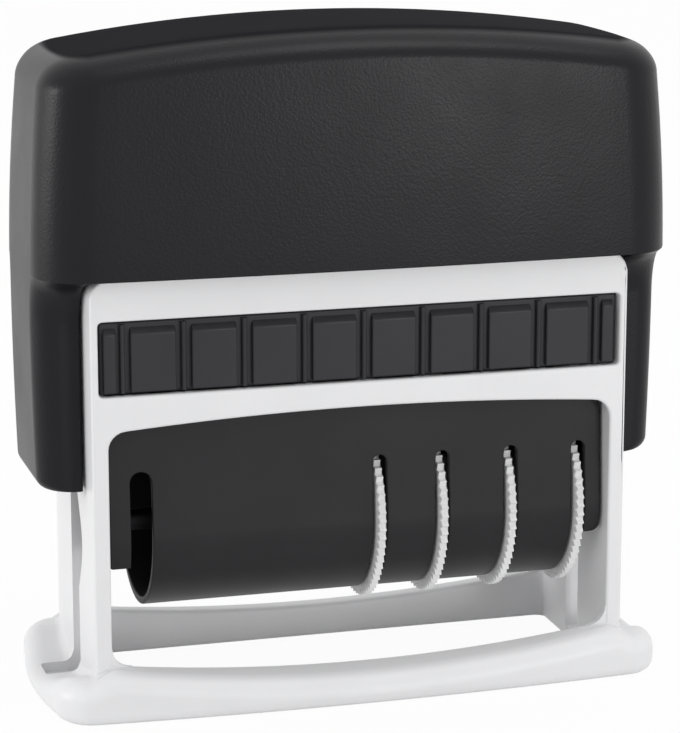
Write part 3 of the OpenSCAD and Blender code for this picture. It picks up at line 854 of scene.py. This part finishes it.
def arm(side):
    """One arm, from its sole up into the block."""
    widest_z = skirt_z - WIDEST_DROP
    rings = []

    def ring(z, toe, shrink=0.0):
        outer = cap_half - PARTING_STEP - (z - widest_z) ** 2 / (2 * ARM_SIDE_R) - toe
        outline = []
        for front, reach in ((-1, ARM_FRONT), (1, ARM_BACK)):
            depth = flare(z, reach) - shrink
            edge = ARM_EDGE + (CAP_CORNER - ARM_EDGE) * (depth - reach) / (cap_y - CAP_BOW - reach)
            centre = (outer - edge, depth - edge)
            start = math.degrees(math.acos(max(0.0, (arm_in + ARM_SOFT - centre[0]) / edge)))
            inner_y = centre[1] + edge * math.sin(math.radians(start))
            corner = [(arm_in, inner_y - ARM_SOFT), (arm_in + ARM_SOFT, inner_y)]
            corner += arc(centre, edge, start, 0, 10)
            outline += [(x, front * y) for x, y in corner][::-front]
        rings.append([(side * x, y, z) for x, y in outline])

    for dx, dz in arc((ARM_TOE, ARM_TOE), ARM_TOE, 270, 180, 6):
        ring(arm_z + dz, dx)
    for i in range(1, ARM_STEPS + 1):
        ring(arm_z + ARM_TOE + (skirt_z - FLARE_DROP - arm_z - ARM_TOE) * i / ARM_STEPS, 0)
    for i in range(1, FLARE_STEPS + 1):
        ring(skirt_z - FLARE_DROP * math.cos(math.pi / 2 * i / FLARE_STEPS), 0)
    ring(skirt_z + ARM_ROOT, ARM_TAPER, ARM_TAPER)
    return loft("arm", rings)


def pivot_bore(side):
    """Bore for the drum's pivot, in the inner face of an arm."""
    outline = circle((0, pivot_z), PIVOT_BORE_R, BORE_SIDES)
    ends = sorted((side * (arm_in - CLEAR), side * (arm_in + BORE_DEPTH)))
    return prism("bore", outline, "X", *ends)


roof_z = cap_top - CAP_WALL - arch_drop(SPRING_X)
weld(cap, arm(1), arm(-1), *pegs(roof_z + ROOF_ROOT, roof_z - PEG_HEIGHT))
cut(cap, pivot_bore(1), pivot_bore(-1))
cap.name = "cap_moulding"
place(shade(cap), "cap", "cap_black", cap_black, "cap_shell")

# %% [markdown]
# The ink pad sits in a cartridge that slides through the tunnel. Its long faces carry a row of tiles
# with a sloped upper edge, so that a fingertip finds hold, and a thin round rib stands between every
# two tiles. One tile and one rib are enough: the rest are copies at an even pitch.

# %% Pad cartridge
TILE_COUNT = 8
TILE_HEIGHT = 0.6
TILE_FIELD = 2.42
TILE_GROOVE = 1.72
TILE_BEVEL = 1.2
TILE_EDGE = 0.16
TILE_ROOT, TILE_FOOT = 0.4, 0.25
END_TILE_LAP, END_TILE_GAP = 0.15, 0.35
RIB_R, RIB_FOOT = 0.27, 0.2
TRAY_EDGE = 0.2
FELT_DEPTH, FELT_HEIGHT, FELT_WALL = 12.0, 4.0, 2.2

tray_y = tray_high.y - TILE_HEIGHT
tile_pitch = 2 * (tray_high.x - TILE_FIELD) / TILE_COUNT
first_rib_x = TILE_FIELD - tray_high.x


def tile(low_x, high_x, side):
    """Grip tile on the front or the back of the cartridge."""
    face, root = side * (tray_y + TILE_HEIGHT), side * (tray_y - TILE_ROOT)
    foot, brow = tray_low.z + TILE_FOOT, tray_high.z - TILE_BEVEL
    outline = [(root, foot), (face, foot), (face, brow), (root, brow + TILE_HEIGHT + TILE_ROOT)]
    return soften(prism("tile", outline, "X", low_x, high_x), TILE_EDGE)


def rib(x, side):
    """Thin upright rib with a round front."""
    crown = side * (tray_y + TILE_HEIGHT - RIB_R)
    root = side * (tray_y - TILE_ROOT)
    outline = arc((x, crown), RIB_R, 0, side * 180, 8) + [(x - RIB_R, root), (x + RIB_R, root)]
    return prism("rib", outline, "Z", tray_low.z + RIB_FOOT, tray_high.z - RIB_FOOT)


def end_tile(end, side):
    """Narrow tile that fills the field at one end."""
    near = tray_high.x - TILE_FIELD + TILE_GROOVE / 2 - END_TILE_LAP
    far = tray_high.x - END_TILE_GAP
    return tile(*sorted((end * near, end * far)), side)


cartridge = box("pad_cartridge", (tray_low.x, -tray_y, tray_low.z), (tray_high.x, tray_y, tray_high.z))
felt_x = tray_high.x - FELT_WALL
cut(cartridge, box("felt_room", (-felt_x, -FELT_DEPTH / 2, tray_low.z - CLEAR),
                   (felt_x, FELT_DEPTH / 2, tray_low.z + FELT_HEIGHT)))
soften(cartridge, TRAY_EDGE)
for side in (-1, 1):
    for i in range(TILE_COUNT):
        low_x = first_rib_x + i * tile_pitch + TILE_GROOVE / 2
        weld(cartridge, tile(low_x, low_x + tile_pitch - TILE_GROOVE, side))
    weld(cartridge, *[rib(first_rib_x + i * tile_pitch, side) for i in range(TILE_COUNT + 1)],
         end_tile(1, side), end_tile(-1, side))
place(shade(cartridge), "pad", "tray_black", tray_black, "pad_tray")

# %% [markdown]
# The drum's cover is a trough of thin plastic that hides the date bands. Each thumb wheel comes out of
# its own slot, and one more slot at the left is open. The trough is one section pulled along the drum,
# so the slots and the two short end tabs are all cuts.

# %% Drum cover
COVER_WALL = 0.8
COVER_BACK_DROP = 0.6
COVER_EDGE = 0.14
COVER_LEAN = 0.8
WHEEL_RIM = 1.0
WHEEL_GAP = 0.3
SLOT_ROOM = 1.5
SPARE_SLOT = 2.4
LEFT_TAB = 2.3
TAB_DROP = 2.9
TAB_CORNER = 0.9
LEFT_TAB_CORNER = TAB_CORNER / 3
TAB_STEPS = 6
WHEELS = ("day_tens", "day_units", "month", "year")

wheel_x = [box_mm(name + "_wheel")[1].x - WHEEL_RIM / 2 for name in WHEELS]
wheel_r = box_mm("year_wheel")[1].y
wheel_slot = WHEEL_RIM + 2 * WHEEL_GAP
spare_x = -(drum_half - LEFT_TAB - SPARE_SLOT / 2)
inner_r = cover_r - COVER_WALL
cover_lean = math.atan(COVER_LEAN / (drum_high.z - axle_z))
round_top = (wheel_slot - math.sqrt(wheel_slot ** 2 - WHEEL_RIM ** 2)) / 2
slot_top = axle_z + math.sqrt(wheel_r ** 2 - inner_r ** 2) + SLOT_ROOM + round_top
tab_z = axle_z - TAB_DROP


def wall_y(radius, z):
    """Half depth of the trough at a height: its walls lean in and touch the round belly."""
    return radius / math.cos(cover_lean) - (z - axle_z) * math.tan(cover_lean)


def cover_outline():
    """Section of the trough, from the front top round the belly to the back top and back inside."""
    back_z = strip_z - COVER_BACK_DROP
    lean = math.degrees(cover_lean)
    outline = []
    for radius in (cover_r, inner_r):
        belly = arc((0, axle_z), radius, 180 - lean, 360 + lean, 44)
        side = [(-wall_y(radius, drum_high.z), drum_high.z)] + belly + [(wall_y(radius, back_z), back_z)]
        outline += side if radius == cover_r else side[::-1]
    return outline


def cover_slot(x, width):
    """Tool for a slot that is open below and round at the top."""
    crown = arc((x, slot_top - width / 2), width / 2, 0, 180, 12)
    outline = [(x - width / 2, BELOW), (x + width / 2, BELOW)] + crown
    return prism("slot", outline, "Y", -2 * cover_r, 2 * cover_r)


def tab_tool(near, end, corner):
    """Tool that shortens one end of the trough to a tab with a round outer corner."""
    inward = math.copysign(corner, end)
    far = 2 * end
    bend = [(end - inward + inward * math.cos(t), tab_z + corner - corner * math.sin(t))
            for t in [math.pi / 2 * i / TAB_STEPS for i in range(TAB_STEPS + 1)]]
    outline = [(near, BELOW), (far, BELOW), (far, tab_z + corner)] + bend + [(near, tab_z)]
    return prism("tab", outline, "Y", -2 * cover_r, 2 * cover_r)


cover = prism("drum_trough", cover_outline(), "X", -drum_half, drum_half)
cut(cover, *[cover_slot(x, wheel_slot) for x in wheel_x], cover_slot(spare_x, SPARE_SLOT),
    tab_tool(wheel_x[-1], drum_half, TAB_CORNER), tab_tool(spare_x, -drum_half, LEFT_TAB_CORNER))
soften(cover, COVER_EDGE)
place(shade(cover), "drum", "drum_black", drum_black, "drum_cover")

# %% [markdown]
# A thumb wheel is turned from outside the cover to set a date. Its rim has fine pointed teeth for the
# thumb, and the hub beside it carries a rubber band. The toothed rim is a ring whose radius rises and
# falls with the angle; the hub is skinned on in the same row of rings.

# %% Thumb wheels
WHEEL_TEETH = 66
TOOTH_HEIGHT = 0.6
TOOTH_SHARES = (0.0, 0.25, 0.6, 1.0, 0.6, 0.25)
HUB_R = 4.6
AXLE_BORE_R = 1.25
RIM_EDGE = 0.13


def wheel_ring(x, radius, teeth):
    """Ring of points at one place along the axle, with teeth of a height."""
    points = []
    steps = len(TOOTH_SHARES)
    for i in range(WHEEL_TEETH * steps):
        turn = 2 * math.pi * i / (WHEEL_TEETH * steps)
        r = radius - teeth * (1 - TOOTH_SHARES[i % steps])
        points.append((x, r * math.cos(turn), axle_z + r * math.sin(turn)))
    return points


def thumb_wheel(name):
    """Toothed rim with its hub, bored for the axle."""
    low, high = box_mm(name + "_wheel")
    left, right = high.x - WHEEL_RIM, high.x
    shoulder = wheel_r - TOOTH_HEIGHT - RIM_EDGE
    profile = [(low.x, AXLE_BORE_R, 0), (low.x, HUB_R - RIM_EDGE, 0),
               (low.x + RIM_EDGE, HUB_R, 0), (left, HUB_R, 0),
               (left, shoulder, 0), (left + RIM_EDGE, wheel_r, TOOTH_HEIGHT),
               (right - RIM_EDGE, wheel_r, TOOTH_HEIGHT), (right, shoulder, 0), (right, AXLE_BORE_R, 0)]
    wheel = loft("thumb_wheel_" + name, [wheel_ring(*station) for station in profile], ring_shaped=True)
    return place(shade(wheel, angle=30), name + "_wheel", "wheel_white", wheel_white, name + "_wheel")


for name in WHEELS:
    thumb_wheel(name)

# %% [markdown]
# Rubber is matt and a little dusty, because it is soft and holds fine powder from the mould. Its grain
# is finer than that of the plastics, and the bloom on it is a broad, weak cloud that is lighter and
# rougher. Bands and plate share one recipe and differ only in tone.

# %% Rubber
def rubber(name, dark, bloom):
    """Matt rubber with a faint bloom."""
    material, place = new_finish(name)
    cloud = noise(place, 3.5, 4.0)
    grain = noise(place, 0.09, 2.0)
    inputs = {"Base Color": tint(ramp(cloud, 0.35, 0.75), dark, bloom), "Roughness": 0.68 + 0.2 * cloud,
              "Normal": bumps(grain, 0.4, 0.02), "Specular IOR Level": 0.3}
    return close_finish(material, place, inputs)


band_rubber = rubber("band_rubber", (0.045, 0.045, 0.048), (0.085, 0.085, 0.09))
plate_rubber = rubber("plate_rubber", (0.075, 0.075, 0.08), (0.12, 0.12, 0.125))
print("rubbers:", band_rubber.name, plate_rubber.name)

# %% [markdown]
# A date band is a thin endless web that runs round the wheel's hub and over a nose under the ink pad.
# Raised numerals stand on it, mirrored, so that they print the right way round. The web is one section
# swept along the axle. The numerals are drawn with seven short bars each, as on a simple counter, and
# set along the web at an even pitch with one of them on the nose.

# %% Date bands
BAND_WALL = 0.9
WEB_WALL = 0.45
WEB_INSIDE = 0.06
HUB_SPACE = 0.3
NOSE_HALF, NOSE_EDGE, NOSE_SPACE = 1.7, 0.6, 0.05
NUMERAL_HEIGHT, STROKE = 3.4, 0.5
NUMERAL_WIDTH, PAIR_WIDTH, PAIR_GAP = 2.1, 1.35, 0.75
NUMERAL_ROOT, NUMERAL_PINCH = 0.1, 0.08
BLOCK_FACES = ((0, 1, 3, 2), (4, 5, 7, 6), (0, 1, 5, 4), (2, 3, 7, 6), (0, 2, 6, 4), (1, 3, 7, 5))
STATIONS = 10
SEGMENTS = {"0": "abcdef", "1": "bc", "2": "abged", "3": "abgcd", "4": "fgbc",
            "5": "afgcd", "6": "afgedc", "7": "abc", "8": "abcdefg", "9": "abcdfg"}
BARS = {"a": (0, 1, 1, 1), "b": (1, 0.5, 1, 1), "c": (1, 0, 1, 0.5), "d": (0, 0, 1, 0),
        "e": (0, 0, 0, 0.5), "f": (0, 0.5, 0, 1), "g": (0, 0.5, 1, 0.5)}
BAND_TEXTS = {"day_tens": ["0", "1", "2", "3", "0", "1", "2", "3", "0", "1"],
              "day_units": [str(i) for i in range(10)],
              "month": [f"{i:02d}" for i in range(1, 11)],
              "year": [f"{i:02d}" for i in range(26, 36)]}


def band_loop(grow):
    """Closed line round hub and nose, a little outside them, starting on top of the nose."""
    nose_z = box_mm("year_band")[1].z - BAND_WALL - NOSE_SPACE - NOSE_EDGE
    hub_r, nose_r = HUB_R + HUB_SPACE, NOSE_EDGE + NOSE_SPACE
    span = Vector((NOSE_HALF, nose_z - axle_z))
    turn = math.degrees(math.atan2(span.y, span.x) - math.acos((hub_r - nose_r) / span.length))
    right = arc((NOSE_HALF, nose_z), nose_r + grow, 90, turn, 8)
    belly = arc((0, axle_z), hub_r + grow, turn, -180 - turn, 40)
    left = arc((-NOSE_HALF, nose_z), nose_r + grow, 180 - turn, 90, 8)
    return [(0.0, nose_z + nose_r + grow)] + right + belly + left


def loop_length(loop):
    """Length of a closed line."""
    return sum((Vector(b) - Vector(a)).length for a, b in zip(loop, loop[1:] + loop[:1]))


def on_loop(loop, distance):
    """Point of a closed line at a distance along it, with its direction."""
    for a, b in zip(loop, loop[1:] + loop[:1]):
        step = Vector(b) - Vector(a)
        if distance <= step.length:
            return Vector(a) + step.normalized() * distance, step.normalized()
        distance -= step.length
    return Vector(loop[0]), Vector((1, 0))


def numeral_bars(text, centre_x, loop, distance):
    """Eight corners for each bar of the numerals at one place of a band."""
    width = NUMERAL_WIDTH if len(text) == 1 else PAIR_WIDTH
    blocks = []
    for k, digit in enumerate(text):
        middle = centre_x + (0 if len(text) == 1 else (0.5 - k) * (width + PAIR_GAP))
        for u0, v0, u1, v1 in (BARS[bar] for bar in SEGMENTS[digit]):
            xs = [middle - (u - 0.5) * width for u in (u0, u1)]
            vs = [(v - 0.5) * (NUMERAL_HEIGHT - STROKE) for v in (v0, v1)]
            xs = (min(xs) - STROKE / 2, max(xs) + STROKE / 2)
            vs = (min(vs) - STROKE / 2, max(vs) + STROKE / 2)
            block = []
            for lift, pinch in ((-NUMERAL_ROOT, 0.0), (BAND_WALL - WEB_WALL, NUMERAL_PINCH)):
                for v in (vs[0] + pinch, vs[1] - pinch):
                    point, along = on_loop(loop, (distance + v) % loop_length(loop))
                    out = Vector((-along.y, along.x))
                    block += [(x, *(point + out * lift)) for x in (xs[0] + pinch, xs[1] - pinch)]
            blocks.append(block)
    return blocks


def date_band(name):
    """Web of one band with its raised numerals."""
    low, high = box_mm(name + "_band")
    rings = [[(x, *p) for p in band_loop(grow)] for x, grow in
             ((low.x, WEB_INSIDE), (low.x, WEB_WALL), (high.x, WEB_WALL), (high.x, WEB_INSIDE))]
    band = loft("band_" + name, rings, ring_shaped=True)
    loop = band_loop(WEB_WALL)
    points, faces = [], []
    for i, text in enumerate(BAND_TEXTS[name]):
        for block in numeral_bars(text, (low.x + high.x) / 2, loop, i * loop_length(loop) / STATIONS):
            n = len(points)
            points += block
            faces += [tuple(n + k for k in quad) for quad in BLOCK_FACES]
    numerals = piece_from("numerals", points, faces)
    both = bmesh.new()
    for piece in (band, numerals):
        both.from_mesh(piece.data)
    both.to_mesh(band.data)
    both.free()
    bpy.data.objects.remove(numerals)
    return place(shade(band, angle=35), "drum", "band_rubber", band_rubber, name + "_band")


for name in WHEELS:
    date_band(name)

# %% [markdown]
# Left of the bands lies a text plate that is still blank. A real one is a rubber sheet on a thin foam
# backing, with a low border where a text would be moulded inside. Two slabs and a border, each with
# softened edges, show those layers.

# %% Text plate
BACKING = 0.45
BACKING_INSET, BACKING_LAP = 0.12, 0.05
BORDER_WIDTH, BORDER_INSET, BORDER_RISE, BORDER_ROOT = 0.4, 0.7, 0.3, 0.1
SHEET_SOFT, BORDER_SOFT, BACKING_SOFT = 0.1, 0.06, 0.08

plate_low, plate_high = box_mm("text_plate")
sheet_top = plate_high.z - BORDER_RISE


def slab(name, inset, low_z, high_z, softness):
    """Flat block inside the plate's outline."""
    low = (plate_low.x + inset, plate_low.y + inset, low_z)
    high = (plate_high.x - inset, plate_high.y - inset, high_z)
    return soften(box(name, low, high), softness, steps=2)


text_plate = slab("text_plate_blank", 0.0, plate_low.z + BACKING, sheet_top, SHEET_SOFT)
border = slab("border", BORDER_INSET, sheet_top - BORDER_ROOT, plate_high.z, BORDER_SOFT)
field = BORDER_INSET + BORDER_WIDTH
cut(border, box("field", (plate_low.x + field, plate_low.y + field, sheet_top - CLEAR),
                (plate_high.x - field, plate_high.y - field, plate_high.z + CLEAR)))
backing_top = plate_low.z + BACKING + BACKING_LAP
weld(text_plate, border, slab("backing", BACKING_INSET, plate_low.z, backing_top, BACKING_SOFT))
place(shade(text_plate), "drum", "plate_rubber", plate_rubber, "text_plate")

# %% [markdown]
# The ink pad is a block of felt soaked with ink. Felt has no weave: short hairs lie in every direction,
# so its surface is cloudy and furry, and it bulges a little between its edges. The block is a grid that
# is crowned below and round at its rim. Fine stretched noises, crossed, give the hairs.

# %% Felt
def felt():
    """Inked felt with crossing hairs."""
    material, place = new_finish("ink_felt")
    hairs = [noise(stretched(place, factors), 1.6, 3.0) for factors in ((1.0, 9.0, 3.0), (9.0, 1.0, 3.0))]
    soaked = noise(place, 5.0, 3.0)
    fur = 0.5 * hairs[0] + 0.5 * hairs[1]
    colour = tint(0.6 * soaked + 0.5 * fur, (0.006, 0.006, 0.009), (0.03, 0.03, 0.042))
    inputs = {"Base Color": colour, "Roughness": 0.62 + 0.3 * fur, "Normal": bumps(fur, 0.9, 0.12),
              "Specular IOR Level": 0.25}
    return close_finish(material, place, inputs)


ink_felt = felt()
FELT_CROWN, FELT_ROUND = 0.18, 0.5
FELT_TOP_EDGE, FELT_CORNER, FELT_FLAT = 0.3, 1.0, 1.05
CROWN_STEPS = 5
felt_low, felt_high = box_mm("ink_pad")


def felt_pad():
    """Felt block, crowned on its lower side."""
    middle = (felt_low + felt_high) / 2
    half = (felt_high - felt_low) / 2
    rings = []

    def ring(inset, z):
        shape = rounded([(sx * (half.x - inset), sy * (half.y - inset), FELT_CORNER)
                         for sx, sy in ((1, 1), (-1, 1), (-1, -1), (1, -1))], 5)
        rings.append([(middle.x + x, middle.y + y, z) for x, y in shape])

    ring(FELT_TOP_EDGE, felt_high.z)
    ring(0.0, felt_high.z - FELT_TOP_EDGE)
    base_z = felt_low.z + FELT_CROWN
    for dx, dz in arc((FELT_ROUND, FELT_ROUND), FELT_ROUND, 180, 270, 5):
        ring(dx, base_z + dz)
    for i in range(1, CROWN_STEPS + 1):
        inset = FELT_ROUND + (half.y - FELT_ROUND - FELT_FLAT) * i / CROWN_STEPS
        ring(inset, base_z - FELT_CROWN * math.sin(math.pi / 2 * i / CROWN_STEPS))
    return loft("felt_pad", rings)


pad = place(shade(felt_pad(), angle=60), "pad", "ink_felt", ink_felt, "ink_pad")

# %% [markdown]
# Spring wire is drawn through a die, which leaves fine lines along it and a bright, slightly uneven
# shine. The drum's axle is a steel rod that was blackened, and the black is worn through in places.
# Both are one metal recipe with a light and a dark tone and a share between them.

# %% Metals
def metal(name, dark, light, rough, patch, worn):
    """Metal in two tones, with the light one in worn patches."""
    material, place = new_finish(name)
    wear = ramp(noise(place, patch, 4.0), worn - 0.1, worn + 0.1)
    lines = noise(stretched(place, (1.0, 1.0, 8.0)), 0.6)
    inputs = {"Base Color": tint(wear, dark, light), "Metallic": 1.0,
              "Roughness": rough + 0.15 * lines, "Normal": bumps(lines, 0.25, 0.01)}
    return close_finish(material, place, inputs)


spring_steel = metal("spring_steel", (0.45, 0.45, 0.46), (0.62, 0.62, 0.63), 0.22, 2.5, 0.5)
axle_steel = metal("axle_steel", (0.05, 0.05, 0.055), (0.35, 0.35, 0.36), 0.32, 1.6, 0.72)
print("metals:", spring_steel.name, axle_steel.name)

# %% [markdown]
# Two springs lift the cap. Each is a round wire wound into a coil, and its last turn at each end lies
# flat, so that it stands on the deck. The coil is a round section swept along a spiral whose climb is
# slow at both ends.

# %% Return springs
SPRING_TURNS = 7
SPRING_WIRE = 0.8
FLAT_TURN = 0.8
ROOF_GAP = 0.3
TURN_STEPS, WIRE_SIDES = 28, 10
END_RATE, RATE_STEPS = 0.3, 200


def climb_sum(share):
    """Sum of a climb rate that grows over the first turn and fades over the last."""
    flat = FLAT_TURN / SPRING_TURNS
    rates = []
    for i in range(round(share * RATE_STEPS)):
        at = (i + 0.5) / RATE_STEPS
        rates.append(END_RATE + (1 - END_RATE) * smooth(at / flat) * smooth((1 - at) / flat))
    return sum(rates)


def climb(share):
    """How far up the coil is at a share of its turns, with flat end turns."""
    return climb_sum(share) / climb_sum(1.0)


def return_spring(hand):
    """Coil between the deck and the cap's roof."""
    name = "return_spring_" + hand
    low, high = box_mm(name)
    tall = high.z - ROOF_GAP - low.z
    radius = (high.x - low.x - SPRING_WIRE) / 2
    middle_x = (low.x + high.x) / 2
    rings = []
    steps = SPRING_TURNS * TURN_STEPS
    for i in range(steps + 1):
        turn = 2 * math.pi * SPRING_TURNS * i / steps
        z = low.z + SPRING_WIRE / 2 + (tall - SPRING_WIRE) * climb(i / steps)
        rings.append([(middle_x + dx * math.cos(turn), dx * math.sin(turn), z + dz)
                      for dx, dz in circle((radius, 0), SPRING_WIRE / 2, WIRE_SIDES)])
    coil = shade(loft("coil_" + hand, rings), angle=60)
    spring = place(coil, "frame", "spring_steel", spring_steel, name)
    deck_top * MM
    (tall - travel) / tall
    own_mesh(spring)


for hand in ("left", "right"):
    return_spring(hand)

# %% [markdown]
# The drum's end plates, its axle, the nose under the bands, the guides and the plate's holder are plain
# forms that hardly show, so the measured parts stay. They get the finish of their moulding or rod, and
# a small bevel, because no real edge is perfectly sharp.

# %% Measured parts that stay
STAYS = {"left_cheek": drum_black, "right_cheek": drum_black, "text_plate_holder": drum_black,
         "band_bridge": wheel_white, "band_guides": wheel_white, "wheel_axle": axle_steel}
STAY_EDGE = 0.12

for name, finish in STAYS.items():
    node = frame["nodes"][name]
    node.data.materials.clear()
    node.data.materials.append(finish)
    bevel = node.modifiers.new("soft edges", "BEVEL")
    bevel.width = STAY_EDGE * MM
    bevel.segments = 2
print("kept as measured:", sorted(STAYS))

# %% [markdown] The dressing ends here.
